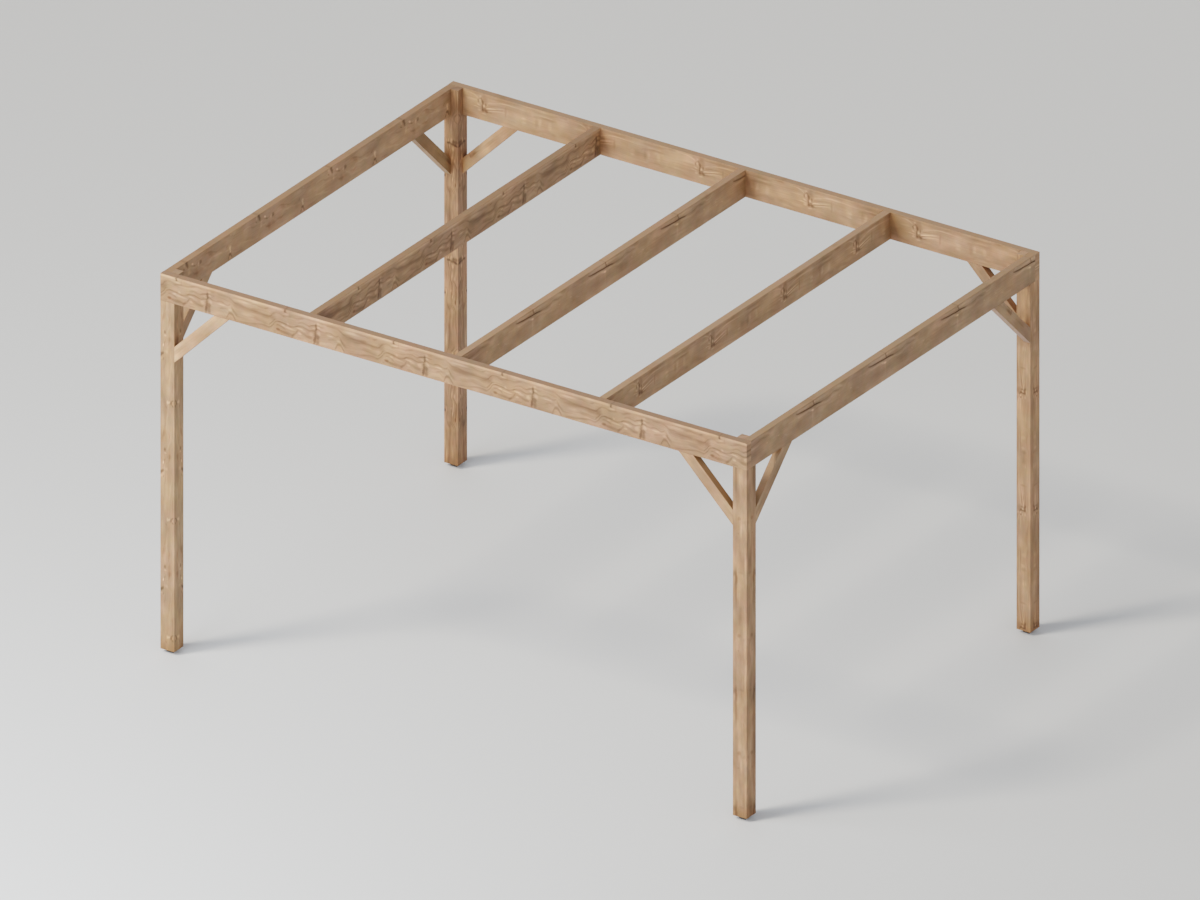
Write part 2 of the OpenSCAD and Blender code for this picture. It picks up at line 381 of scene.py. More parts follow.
SPIKE = {
    "flow_top": [(0, 0), (180, 0.05), (225, 0.35), (270, 0.05), (380, -0.1), (520, 0.05), (741, 0)],
    "flow_low": [(0, 0), (190, 0.02), (235, 0.1), (290, -0.04), (400, -0.06), (560, 0.03), (741, 0)],
    "lines": [
        (5, [(0, 12, 0), (95, 12, -0.3), (140, 13, -0.5), (170, 20, -0.7), (192, 30, -0.6),
          (205, 40, 0), (262, 56, 0), (275, 50, -0.5), (300, 45, -0.5), (330, 37, -0.5),
          (360, 31, -0.8), (400, 28, -0.8), (440, 29, -0.7), (480, 30, -0.5), (540, 34, -0.3),
          (590, 34, 0), (640, 36, -0.5), (690, 36, -0.4), (720, 32, 0), (741, 12, 0)]),
        (4.5, [(0, 92, 0), (165, 92, -0.2), (180, 90, -0.8), (200, 93, -0.8), (215, 94, -0.3),
          (250, 92, 0), (258, 88, -1.2), (275, 84, -1.7), (300, 79, -1.4), (325, 73, -1),
          (350, 68, -0.8), (380, 64, -0.2), (420, 64, 0), (741, 92, 0)]),
        (4, [(0, 100, 0), (255, 100, 0), (268, 93, 0.8), (290, 89, 0.5), (320, 83, 0.6), (350, 79, 0.3),
          (380, 78, 0), (741, 100, 0)]),
        (5, [(0, 100, 0), (262, 104, 0), (280, 99, -0.7), (300, 95, -0.8), (330, 88, -0.7),
          (360, 84, -0.5), (400, 84, 0), (741, 100, 0)]),
        (5, [(0, 60, 0), (262, 70, 0), (275, 66, 0.6), (300, 62, 0.7), (330, 57, 0.4), (360, 54, 0.3),
          (400, 54, 0), (741, 60, 0)]),
        (8, [(0, 10, 0.2), (45, 9, 0.8), (80, 12, 0.2), (160, 6, 0.2), (190, 10, 0.7), (215, 8, 0.2),
          (300, 16, 0.4), (350, 14, 0.4), (400, 14, 0.6), (450, 12, 0.6), (480, 9, 0.3),
          (540, 16, 0.2), (600, 20, 0.5), (660, 20, 0.6), (700, 20, 0.5), (741, 12, 0.3)]),
        (11, [(0, 126, 0.12), (40, 126, 0.36), (110, 134, 0.36), (150, 146, 0.36), (200, 148, 0.12),
          (300, 136, 0.12), (360, 150, 0.12), (430, 150, 0.24), (500, 150, 0.06), (560, 146, 0.36),
          (590, 146, 0.48), (640, 130, 0.3), (680, 124, 0.36), (715, 132, 0.36), (741, 126, 0.12)]),
        (9, [(0, 50, 0), (560, 56, 0), (590, 52, 0.4), (630, 50, 0.4), (660, 48, 0.6), (700, 50, 0.6),
          (725, 48, 0.3), (741, 50, 0)]),
    ],
    "spots": [
        (220, 34, 9, 6, 60, 1.4), (231, 54, 18, 9, 75, 2), (228, 84, 28, 5.5, 90, 2),
        (232, 106, 10, 10, 0, 1.4), (256, 106, 12, 12, 20, 1.7), (243, 98, 16, 14, 0, 1.3),
        (252, 66, 12, 6, 90, 1.6), (242, 34, 34, 24, 80, 0.9), (275, 109, 22, 4, -5, 1),
        (201, 53, 13, 6, 80, 1.4), (208, 38, 10, 4, -30, 0.7), (213, 49, 10, 7, 80, -0.7),
        (240, 78, 11, 7, 90, -1.1), (240, 124, 18, 5, -5, -0.9), (203, 76, 14, 6, 20, -0.9),
        (207, 107, 14, 10, 0, -0.8), (215, 22, 8, 7, 0, -0.6), (150, 52, 50, 8, 0, -0.5),
        (387, 80, 40, 8, 92, 0.6), (512, 84, 20, 10, 0, -0.5), (512, 108, 20, 9, 0, -0.5),
        (622, 84, 30, 12, 95, -0.5), (690, 86, 30, 16, 90, -0.4), (300, 125, 40, 8, 0, -0.3),
        (597, 90, 40, 12, 90, 0.4), (60, 60, 60, 40, 0, -0.2), (505, 60, 26, 70, 0, -0.2)],
    "red": [
        (244, 104, 22, 16, 0, 0.6), (232, 50, 20, 20, 0, 0.2), (130, 150, 60, 12, 0, 0.3),
        (590, 145, 30, 14, 0, 0.4)],
}

# Drawn from 300 mm on, so that the check doesn't cross the end of the pattern
CHECKED = {
    "flow_top": [
        (0, 0), (120, 0.02), (260, 0.1), (330, 0.2), (420, 0.3), (560, 0.2), (660, 0.1), (741, 0)],
    "flow_low": [(0, 0), (741, 0)],
    "lines": [
        # The first line runs along the drying check: partly a dark stain, partly painted shade inside
        # the crack
        (6, [(0, 30, 0), (196, 20, 0), (208, 22, 1.1), (222, 26, 1.9), (240, 28, 2.2), (280, 32, 2.5),
          (320, 34, 2.3), (360, 36, 2.3), (400, 35, 3.3), (425, 37, 2.8), (441, 39, 2.7),
          (458, 42, 1.7), (480, 42, 0.7), (520, 42, 0.5), (560, 37, 0.7), (590, 29, 0.5),
          (612, 32, 0.7), (635, 37, 0.4), (660, 38, 0), (741, 30, 0)]),
        (9, [(0, 55, 0), (215, 44, -0.2), (240, 50, -0.6), (290, 48, -0.6), (330, 46, -0.6),
          (352, 52, -0.9), (375, 58, -1), (400, 58, -0.3), (425, 52, -0.6), (470, 56, -0.6),
          (520, 63, -0.7), (550, 62, -0.5), (575, 52, -0.4), (640, 50, -0.4), (700, 48, -0.4),
          (735, 46, 0), (741, 50, 0)]),
        (10, [(0, 14, 0), (205, 10, 0), (230, 10, -0.4), (290, 14, -0.6), (360, 14, -0.7),
          (400, 12, -0.6), (430, 14, -1), (470, 14, -0.7), (500, 16, -0.6), (560, 12, -0.2),
          (600, 12, -0.5), (650, 18, -0.6), (700, 32, -0.5), (741, 14, 0)]),
    ],
    "spots": [
        (381, 8, 14, 7, 75, 1.6), (389, 24, 10, 8, 75, 1.6), (377, 60, 14, 8, 20, -1),
        (377, 98, 45, 7, 90, -0.3), (398, 12, 12, 8, 0, -0.6), (408, 84, 30, 30, 0, 0.25),
        (50, 36, 32, 36, 90, 0.35), (50, 95, 24, 30, 90, 0.25), (650, 77, 10, 5, 20, -0.5),
        (27, 78, 12, 5, 20, -0.5), (40, 105, 10, 6, 20, -0.4), (690, 6, 40, 8, 0, 0.5),
        (110, 8, 60, 9, 0, 0.3), (100, 105, 20, 6, 20, -0.3), (200, 56, 40, 6, 0, -0.2),
        (560, 110, 60, 26, 0, 0.2), (250, 90, 60, 22, 0, 0.15)],
    "red": [(170, 60, 120, 60, 0, 0.25), (500, 142, 30, 8, 0, 0.4), (610, 150, 40, 10, 0, 0.3)],
}

KNOTTY = {
    "flow_top": [
        (0, 0), (120, 0.05), (160, 0.3), (210, 0.1), (300, 0.2), (400, 0.3), (520, 0.05), (741, 0)],
    "flow_low": [(0, 0), (250, 0.05), (400, 0.05), (540, -0.05), (600, -0.2), (650, -0.05), (741, 0)],
    "lines": [
        (8, [(0, 110, -0.42), (30, 118, -0.49), (60, 122, -0.35), (90, 132, -0.35), (120, 140, -0.28),
          (170, 90, -0.14), (180, 82, -0.35), (220, 84, -0.28), (250, 90, 0), (290, 80, -0.14),
          (310, 90, -0.35), (330, 100, -0.28), (360, 112, -0.14), (425, 74, -0.21), (450, 80, -0.49),
          (480, 81, -0.42), (505, 84, -0.63), (520, 90, -0.49), (545, 92, -0.28), (570, 96, -0.35),
          (600, 100, -0.28), (640, 110, 0), (741, 110, -0.28)]),
        (6, [(0, 6, 0.28), (60, 4, 0.14), (100, 4, 0.35), (125, 4, 0), (200, 44, 0.28), (216, 49, 0.77),
          (232, 54, 1.05), (246, 58, 0.7), (265, 50, 0.35), (330, 40, 0.14), (370, 28, 0.42),
          (400, 34, 0.56), (430, 46, 0.49), (455, 57, 0.63), (475, 60, 0.35), (520, 58, 0.21),
          (560, 60, 0.21), (620, 56, 0.28), (660, 20, 0.21), (741, 6, 0.35)]),
        (8, [(0, 40, -0.36), (50, 34, -0.27), (100, 60, 0.36), (150, 62, 0.18), (205, 68, 0.18),
          (230, 104, 0.45), (245, 108, 0.9), (262, 112, 0.72), (290, 110, 0.27), (360, 104, 0.45),
          (385, 108, 0.81), (410, 104, 0.36), (440, 108, 0.18), (520, 110, 0), (650, 150, 0.18),
          (680, 148, 0.54), (700, 150, 0.54), (741, 150, 0)]),
        (6, [(0, 40, 0.14), (60, 44, 0.28), (110, 58, 0.28), (150, 50, 0.14), (440, 6, 0.14),
          (480, 4, 0.49), (520, 4, 0.14), (560, 4, 0.42), (590, 6, 0.28), (640, 28, 0.28),
          (700, 30, 0.14), (741, 40, 0.14)]),
    ],
    "spots": [
        (156, 10, 19, 12, 72, 2.2), (165, 31, 16, 11, 66, 1.9), (152, 3, 12, 7, 0, 1),
        (130, 38, 13, 5, 30, 1.3), (132, 14, 14, 8, 75, -0.8), (217, 37, 13, 7, 25, -1.8),
        (236, 52, 8, 6, 30, 0.8), (302, 53, 15, 11, 35, 1.5), (298, 62, 12, 8, 10, 1),
        (279, 60, 20, 7, 88, -0.8), (180, 72, 26, 13, 90, -0.5), (262, 112, 30, 18, 80, 0.6),
        (400, 44, 34, 16, 30, 0.7), (340, 112, 30, 12, 20, -0.3), (570, 71, 12, 5, -38, 1.2),
        (602, 88, 15, 14, 60, -1.3), (605, 110, 16, 8, 70, -1.2), (602, 130, 15, 10, 10, 2.2),
        (586, 150, 13, 6, 110, 1.6), (617, 147, 15, 5, 65, 1.6), (601, 149, 9, 6, 90, -0.4),
        (610, 12, 14, 6, 20, -0.6), (60, 84, 60, 20, 0, -0.2), (380, 140, 60, 12, 0, 0.2)],
    "red": [
        (265, 112, 40, 24, 0, 0.5), (395, 44, 50, 24, 20, 0.5), (380, 112, 40, 20, 0, 0.6),
        (601, 146, 16, 12, 0, 0.8), (300, 112, 100, 20, 0, 0.2)],
}

STREAKED = {
    "flow_top": [(0, 0), (80, 0.15), (200, 0), (420, -0.08), (560, 0.05), (741, 0)],
    "flow_low": [(0, 0), (90, -0.1), (320, 0.05), (430, 0.1), (741, 0)],
    "lines": [
        (18, [(0, 37, 1), (41, 42, 1.5), (71, 36, 1.5), (91, 36, 0.9), (121, 36, 0.4), (221, 38, 0.4),
          (311, 40, 0.3), (401, 36, 0.1), (541, 36, 0.15), (591, 36, 0.35), (641, 40, 0.6),
          (701, 38, 0.75), (741, 37, 1)]),
    ],
    "spots": [
        (70, 12, 24, 16, 0, 0.8), (426, 78, 14, 26, -10, 0.65), (409, 140, 12, 26, -20, 0.25),
        (330, 68, 8, 13, 0, 0.45), (613, 129, 14, 5, 0, 0.4), (345, 105, 50, 18, 0, -0.4),
        (140, 155, 60, 16, 0, -0.6), (86, 105, 10, 36, 0, 0.3), (670, 85, 60, 12, 0, -0.25),
        (266, 150, 24, 14, 0, 0.2), (250, 110, 80, 20, 0, -0.25)],
    "red": [(50, 45, 40, 22, 0, 0.8), (680, 42, 50, 20, 0, 0.5), (430, 80, 20, 24, 0, 0.4)],
}

PLAIN = {
    "flow_top": [(0, 0), (200, 0.1), (450, -0.05), (741, 0)],
    "flow_low": [(0, 0), (300, -0.05), (741, 0)],
    "lines": [],
    "spots": [
        (180, 40, 60, 14, 0, 0.3), (420, 90, 70, 16, 0, -0.4), (600, 50, 50, 14, 0, 0.35),
        (30, 49, 40, 11, 8, 1.1), (12, 56, 16, 8, 60, 0.9), (58, 47, 34, 6, 0, 0.7)],
    "red": [(600, 60, 80, 40, 0, 0.5), (30, 50, 50, 26, 0, 1)],
}

FIGURE_DEPTH = 165.0      # mm across the board that growth lines may wander over
DARKEST = 4.0             # shades, the most that one growth line may add or take away
FIBRES = (16.0, 520.0, 520.0)     # noise steps per metre along and across fibres 2 mm wide

# From pale sapwood to the heart of a knot
SHADES = [(-2, "#D9AA83"), (-1, "#B58C6A"), (0, "#967355"), (1, "#7E5E42"), (2, "#684C32"),
          (4, "#46311D")]


def curve(tree, points, low, high, x):
    """A curve through (mm along the grain, value) points over one whorl spacing."""
    node = add(tree, "ShaderNodeFloatCurve", {"Value": x})
    line = node.mapping.curves[0]
    while len(line.points) < len(points):
        line.points.new(0.5, 0.5)
    for point, (along, value) in zip(line.points, points):
        point.location = (along * MM / WHORL, (value - low) / (high - low))
        point.handle_type = "AUTO_CLAMPED"
    node.mapping.update()
    return add(tree, "ShaderNodeMapRange", {"Value": node, "To Min": low, "To Max": high})


def softwood(name, figure, contrast=1.0, streaks=1.0, growth=1.0):
    """Planed, oiled spruce: a dull satin face with fine latewood lines that swing round the
    knots, cloudy pale and brown patches, dark knots with frayed edges, reddish heartwood near
    them, narrow edges darker, partly as painted shade, ringed end grain, and painted shade
    in the inner corners.

    "contrast" scales every mark, "streaks" the fibres and bands, "growth" the drawn lines."""
    material = bpy.data.materials.new(name)
    material.use_nodes = True
    tree = material.node_tree
    tree.nodes.clear()

    grain = add(tree, "ShaderNodeAttribute", attribute_name="grain").outputs["Vector"]
    # A slow wander of 2 mm keeps one whorl from copying the last, and every mark frays
    # along the fibres by up to 4 mm
    wander = add(tree, "ShaderNodeTexNoise", {"Vector": grain, "Scale": 14.0, "Detail": 2.0})
    wander = add(tree, "ShaderNodeVectorMath", {0: wander.outputs["Color"], 1: (0.5, 0.5, 0.5)},
                 operation="SUBTRACT")
    wander = add(tree, "ShaderNodeVectorMath", {0: wander, 1: (0.008, 0.005, 0.0), 2: grain},
                 operation="MULTIPLY_ADD")
    fine = add(tree, "ShaderNodeVectorMath", {0: grain, 1: FIBRES}, operation="MULTIPLY")
    fray = add(tree, "ShaderNodeTexNoise", {"Vector": fine, "Scale": 1.0, "Detail": 2.0})
    fray = add(tree, "ShaderNodeVectorMath", {0: fray.outputs["Color"], 1: (0.5, 0.5, 0.5)},
               operation="SUBTRACT")
    fray = add(tree, "ShaderNodeVectorMath", {0: fray, 1: (0.016, 0.0012, 0.0), 2: wander},
               operation="MULTIPLY_ADD")
    at = add(tree, "ShaderNodeSeparateXYZ", {0: fray})
    depth = at.outputs["Z"]
    along = add(tree, "ShaderNodeMath", {0: at.outputs["X"], 1: WHORL, 2: 0.0}, operation="WRAP")
    across = add(tree, "ShaderNodeMath", {0: at.outputs["Y"]}, operation="ABSOLUTE")
    share = add(tree, "ShaderNodeMath", {0: along, 1: WHORL}, operation="DIVIDE")
    on_board = add(tree, "ShaderNodeCombineXYZ", {"X": along, "Y": across})

    # The fibres follow "level", which swings as the figure does
    top = curve(tree, figure["flow_top"], -1.0, 1.0, share)
    low = curve(tree, figure["flow_low"], -1.0, 1.0, share)
    lower = add(tree, "ShaderNodeMapRange", {"Value": across, "From Min": 0.04, "From Max": 0.085},
                interpolation_type="SMOOTHSTEP")
    swell = add(tree, "ShaderNodeMix", {0: lower, 2: top, 3: low}, data_type="FLOAT")
    swell = add(tree, "ShaderNodeMath", {0: swell, 1: 1.0}, operation="ADD")
    level = add(tree, "ShaderNodeMath", {0: across, 1: swell}, operation="DIVIDE")
    flow = add(tree, "ShaderNodeCombineXYZ", {"X": at.outputs["X"], "Y": level, "Z": depth})

    # Fibres under 2 mm wide, latewood lines 4 to 8 mm apart, soft bands, clouds 40 to 100 mm
    # long, and patches of 150 to 300 mm
    fields = []
    for pattern, stretch, detail in ((flow, FIBRES, 3.0),
                                     (flow, (4.0, 150.0, 150.0), 2.0),
                                     (flow, (4.5, 28.0, 28.0), 2.0),
                                     (grain, (10.0, 16.0, 16.0), 3.0),
                                     (grain, (4.0, 7.0, 7.0), 1.0)):
        stretched = add(tree, "ShaderNodeVectorMath", {0: pattern, 1: stretch},
                        operation="MULTIPLY")
        field = add(tree, "ShaderNodeTexNoise", {"Vector": stretched, "Scale": 1.0,
                                                 "Detail": detail})
        fields.append(field.outputs["Fac"])
    fibre, latewood, bands, cloud, patch = fields
    latewood = add(tree, "ShaderNodeMapRange", {"Value": latewood, "From Min": 0.5,
                                                "From Max": 0.64}, interpolation_type="SMOOTHSTEP")
    shade = add(tree, "ShaderNodeMath", {0: latewood, 1: 0.35 * streaks, 2: -0.1 * streaks},
                operation="MULTIPLY_ADD")
    for field, weight in ((fibre, 0.6 * streaks), (bands, 1.05 * streaks), (cloud, 1.7),
                          (patch, 2.6)):
        centred = add(tree, "ShaderNodeMath", {0: field, 1: 0.5}, operation="SUBTRACT")
        shade = add(tree, "ShaderNodeMath", {0: centred, 1: weight, 2: shade},
                    operation="MULTIPLY_ADD")

    # Growth lines and knots
    for half, points in figure["lines"]:
        place = curve(tree, [(x, y) for x, y, _ in points], 0.0, FIGURE_DEPTH, share)
        dark = curve(tree, [(x, growth * d) for x, _, d in points], -DARKEST, DARKEST, share)
        place = add(tree, "ShaderNodeMath", {0: place, 1: -MM, 2: across}, operation="MULTIPLY_ADD")
        aside = add(tree, "ShaderNodeMath", {0: place}, operation="ABSOLUTE")
        line = add(tree, "ShaderNodeMapRange", {"Value": aside, "From Min": 1.3 * half * MM,
                                                "From Max": 0.2 * half * MM},
                   interpolation_type="SMOOTHSTEP")
        shade = add(tree, "ShaderNodeMath", {0: line, 1: dark, 2: shade}, operation="MULTIPLY_ADD")
    red = 0.0
    for marks in ("spots", "red"):
        for x, y, long, wide, slope, amount in figure[marks]:
            spot = add(tree, "ShaderNodeMapping",
                       {"Vector": on_board, "Location": (x * MM, y * MM, 0),
                        "Rotation": (0, 0, math.radians(slope)),
                        "Scale": (long * MM, wide * MM, 1)}, vector_type="TEXTURE")
            spot = add(tree, "ShaderNodeVectorMath", {0: spot}, operation="LENGTH")
            spot = add(tree, "ShaderNodeMapRange",
                       {"Value": spot.outputs["Value"], "From Min": 1.25, "From Max": 0.3,
                        "To Max": amount}, interpolation_type="SMOOTHSTEP")
            if marks == "spots":
                shade = add(tree, "ShaderNodeMath", {0: spot, 1: shade})
            else:
                red = add(tree, "ShaderNodeMath", {0: spot, 1: red})

    shade = add(tree, "ShaderNodeMath", {0: shade, 1: contrast}, operation="MULTIPLY")

    # Neither the pale patches nor the knots of a wide face run over onto the narrow edges
    edge = add(tree, "ShaderNodeAttribute", attribute_name="narrow_edge").outputs["Fac"]
    duller = add(tree, "ShaderNodeClamp", {"Value": shade, "Min": 0.25, "Max": 0.95})
    shade = add(tree, "ShaderNodeMix", {0: edge, 2: shade, 3: duller}, data_type="FLOAT")

    # Sawn ends: a little darker, with year rings round the heart of the tree; the marks of
    # the wide faces run on through them
    end = add(tree, "ShaderNodeAttribute", attribute_name="end_grain").outputs["Fac"]
    heart = add(tree, "ShaderNodeMapping", {"Vector": grain, "Location": (0, 0.09, 0.16),
                                            "Scale": (1e3, 1, 1)}, vector_type="TEXTURE")
    heart = add(tree, "ShaderNodeVectorMath", {0: heart}, operation="LENGTH")
    heart = add(tree, "ShaderNodeMath", {0: heart.outputs["Value"], 1: 1400.0},
                operation="MULTIPLY")
    year = add(tree, "ShaderNodeMath", {0: heart}, operation="SINE")
    sawn = add(tree, "ShaderNodeMath", {0: year, 1: 0.15, 2: 0.2}, operation="MULTIPLY_ADD")
    sawn = add(tree, "ShaderNodeMath", {0: shade, 1: 0.9, 2: sawn}, operation="MULTIPLY_ADD")
    shade = add(tree, "ShaderNodeMix", {0: end, 2: shade, 3: sawn}, data_type="FLOAT")

    palest, darkest = SHADES[0][0], SHADES[-1][0]
    on_ramp = add(tree, "ShaderNodeMapRange", {"Value": shade, "From Min": palest,
                                               "From Max": darkest})
    ramp = add(tree, "ShaderNodeValToRGB", {"Fac": on_ramp})
    while len(ramp.color_ramp.elements) < len(SHADES):
        ramp.color_ramp.elements.new(0.5)
    for stop, (place, code) in zip(ramp.color_ramp.elements, SHADES):
        stop.position = (place - palest) / (darkest - palest)
        stop.color = paint(code)

    # Small flecks and broad patches a little more yellow or pink
    colour = ramp.outputs["Color"]
    for scale, pink, blue in ((22.0, 0.3, 0.3), (5.0, 0.27, 0.36)):
        hue = add(tree, "ShaderNodeTexNoise", {"Vector": grain, "Scale": scale, "Detail": 2.0})
        hue = add(tree, "ShaderNodeVectorMath", {0: hue.outputs["Color"], 1: (pink, 0.0, blue),
                                                 2: (1.0 - pink / 2, 1.0, 1.0 - blue / 2)},
                  operation="MULTIPLY_ADD")
        colour = add(tree, "ShaderNodeVectorMath", {0: colour, 1: hue}, operation="MULTIPLY")

    # Each timber has its own tone, partly painted light and shade. Heartwood warms the colour, the
    # narrow edges are darker, partly from more oil and partly as painted shade, and the inner corners
    # get painted shade: a darker gold wherever ambient occlusion finds them shut in.
    tone = add(tree, "ShaderNodeAttribute", attribute_name="tone").outputs["Vector"]
    colour = add(tree, "ShaderNodeVectorMath", {0: colour, 1: tone}, operation="MULTIPLY")
    # Painted shade: ambient occlusion darkens the inner corners to a deeper gold
    occlusion_for_painted_shade = add(tree, "ShaderNodeAmbientOcclusion", {"Distance": 0.2}, samples=8)
    painted_corner_shade = add(tree, "ShaderNodeMapRange", {"Value": occlusion_for_painted_shade.outputs["AO"],
                                               "From Min": 0.97, "From Max": 0.5})
    # The narrow-edge tint is partly more oil and partly painted shade on the tops and undersides
    for amount, tint in ((red, (1.1, 0.99, 0.93)), (edge, (0.99, 0.955, 0.875)),
                         (painted_corner_shade, (0.68, 0.57, 0.41))):
        tint_and_painted_shade = add(tree, "ShaderNodeMix", {0: amount, 4: AS_IT_IS, 5: tint},
                   data_type="VECTOR")
        colour = add(tree, "ShaderNodeVectorMath", {0: colour, 1: tint_and_painted_shade.outputs[1]},
                     operation="MULTIPLY")

    rough = add(tree, "ShaderNodeMapRange", {"Value": fibre, "To Min": 0.55, "To Max": 0.8})
    relief = add(tree, "ShaderNodeMath", {0: latewood, 1: 0.4, 2: fibre}, operation="MULTIPLY_ADD")
    bump = add(tree, "ShaderNodeBump", {"Height": relief, "Distance": 0.0003, "Strength": 0.5})
    wood = add(tree, "ShaderNodeBsdfPrincipled", {"Base Color": colour, "Roughness": rough,
                                                  "IOR": 1.45, "Specular IOR Level": 0.35,
                                                  "Normal": bump})
    add(tree, "ShaderNodeOutputMaterial", {"Surface": wood})
    return material


def rubber(name):
    """Black recycled rubber pad: matt, with fine grey crumb."""
    material = bpy.data.materials.new(name)
    material.use_nodes = True
    tree = material.node_tree
    tree.nodes.clear()
    place = add(tree, "ShaderNodeTexCoord").outputs["Object"]
    crumb = add(tree, "ShaderNodeTexVoronoi", {"Vector": place, "Scale": 400.0})
    mix = add(tree, "ShaderNodeMix", {0: crumb.outputs["Distance"], 6: paint("#26241F"),
                                      7: paint("#45413A")}, data_type="RGBA")
    bump = add(tree, "ShaderNodeBump", {"Height": crumb.outputs["Distance"], "Distance": 0.0003,
                                        "Strength": 0.6})
    body = add(tree, "ShaderNodeBsdfPrincipled", {"Base Color": mix.outputs[2], "Roughness": 0.85,
                                                  "Specular IOR Level": 0.3, "Normal": bump})
    add(tree, "ShaderNodeOutputMaterial", {"Surface": body})
    return material


finishes = {
    "wavy": softwood("oiled spruce, wavy figure", WAVY, 1.0, 1.0, 0.86),
    "golden": softwood("oiled spruce, golden brown", WAVY, 1.15, 1.0, 0.55),
    "spike": softwood("oiled spruce, spike knots", SPIKE, 1.0, 0.75),
    "checked": softwood("oiled spruce, long drying checks", CHECKED, 1.0, 0.7),
    "knotty": softwood("oiled spruce, small knots", KNOTTY, 1.0, 0.65),
    "streaked": softwood("oiled spruce, brown streak", STREAKED, 1.35, 0.5),
    "plain": softwood("oiled spruce, plain", PLAIN, 1.15, 0.7),
}
pad_finish = rubber("black crumb rubber")


# ---------------------------------------------------------------- the pieces

X, Y, Z = Vector((1, 0, 0)), Vector((0, 1, 0)), Vector((0, 0, 1))

# Straight timbers: node: (figure, slot, across, through, grain start in mm, tone). The tone is
# partly the timber's own and partly painted light and shade, such as the darker back left post.
ROWS = {
    "front_beam": ("wavy", "beam_timber", -Z, Y, 0, (1.02, 0.94, 0.96)),
    "back_beam": ("spike", "beam_timber", -Z, Y, 0, (1.16, 1.08, 1.08)),
    "left_beam": ("knotty", "beam_timber", -Z, -X, 0, (0.98, 0.94, 0.92)),
    "right_beam": ("checked", "beam_timber", -Z, -X, -255, (0.96, 0.96, 0.98)),
    "rafter_left": ("wavy", "rafter_timber", -Z, -X, -324, (0.88, 0.84, 0.82)),
    "rafter_middle": ("checked", "rafter_timber", -Z, -X, -355, (1.0, 0.98, 0.96)),
    "rafter_right": ("spike", "rafter_timber", -Z, -X, -110, (1.02, 1.0, 0.98)),
    "post_front_left": ("knotty", "post_timber", X, Y, 519, (1.10, 1.06, 1.08)),
    "post_front_right": ("streaked", "post_timber", X, Y, 25, (1.12, 1.04, 1.06)),
    "post_back_left": ("golden", "post_timber", X, Y, 518, (0.94, 0.82, 0.78)),
    "post_back_right": ("spike", "post_timber", X, Y, 212, (1.20, 1.12, 1.12)),
}

# Braces: node: where its grain starts in mm, tone; the tone is partly the brace's own and
# partly painted light and shade
BRACES = {
    "front_brace_left": (100, (1.44, 1.40, 1.48)),
    "front_brace_right": (100, (1.12, 1.06, 1.10)),
    "back_brace_left": (-113, (1.38, 1.28, 1.26)),
    "back_brace_right": (100, (0.94, 0.90, 0.92)),
    "left_brace_front": (100, AS_IT_IS),
    "left_brace_back": (-40, (0.66, 0.62, 0.50)),
    "right_brace_front": (100, (1.02, 1.04, 1.06)),
    "right_brace_back": (-320, (0.92, 0.92, 0.92)),
}

# Sides painted lighter or darker than the rest of their timber, as painted light and shade for
# how the light falls on them: top edges of the beams and rafters, right faces of the posts, and
# edges of the braces
LOW_SIDES_PAINTED_LIGHT = {
    "front_beam": (0.86, 0.88, 0.92),
    "back_beam": (0.94, 1.0, 1.06),
    "left_beam": (1.0, 0.96, 0.94),
    "right_beam": (1.10, 1.10, 1.10),
    "rafter_left": (0.98, 0.94, 0.90),
    "rafter_middle": (1.14, 1.12, 1.20),
    "rafter_right": (1.16, 1.18, 1.30),
    "left_brace_back": (1.85, 2.15, 3.25),
    "right_brace_back": (1.55, 1.80, 2.70),
}
HIGH_SIDES_PAINTED_LIGHT = {
    "post_front_left": (0.92, 0.96, 0.90),
    "post_front_right": (0.88, 0.88, 0.82),
    "post_back_left": (0.96, 1.0, 1.04),
    "post_back_right": (0.86, 0.84, 0.78),
    "front_brace_right": (1.0, 1.06, 1.0),
    "back_brace_right": (1.15, 1.10, 1.05),
    "left_brace_front": (1.55, 1.70, 2.05),
    "right_brace_front": (1.50, 1.65, 2.05),
}

# Drying checks: node: (how many, first one's middle along the board in mm)
CHECKS = {"right_beam": (4, 595), "rafter_middle": (3, 695)}

timber = timber_tree()
pieces = {}


def corner(low, high, directions):
    """The corner of a box from which all three directions run into it."""
    start = []
    for i in range(3):
        forward = max((d[i] for d in directions), key=abs) > 0
        start.append(low[i] if forward else high[i])
    return Vector(start)


def plant(node, values, across, through, along, place):
    """Makes one timber and puts it in for its CAD node."""
    values["Low side tone"] = LOW_SIDES_PAINTED_LIGHT.get(node, AS_IT_IS)
    values["High side tone"] = HIGH_SIDES_PAINTED_LIGHT.get(node, AS_IT_IS)
    turn = Matrix((across, through, along)).transposed().to_euler()
    values["Place"] = place
    values["Turn"] = turn
    piece = grow(timber, "planed_" + node, values)
    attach(piece, "root")
    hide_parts(node)
    pieces[node] = piece


for node, (figure, slot, across, through, start, tone) in ROWS.items():
    low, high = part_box(node)
    size = high - low
    along = across.cross(through)
    values = {
        "Length": abs(size.dot(along)),
        "Width": abs(size.dot(across)),
        "Depth": abs(size.dot(through)),
        "Grain start": start * MM,
        "Tone": tone,
        "Finish": finishes[figure],
    }
    if node in CHECKS:
        values["Checks"], middle = CHECKS[node]
        values["First check"] = middle * MM
    if slot == "post_timber":
        values["Grain stretch"] = BOARD / POST_SIDE
        values["Grain fold"] = 1.0
        values["Rebate"] = THICKNESS
        values["Rebate height"] = BOARD
        values["Rebate sides"] = (float("right" in node), float("back" in node), 0.0)
    plant(node, values, across, through, along, corner(low, high, (across, through, along)))

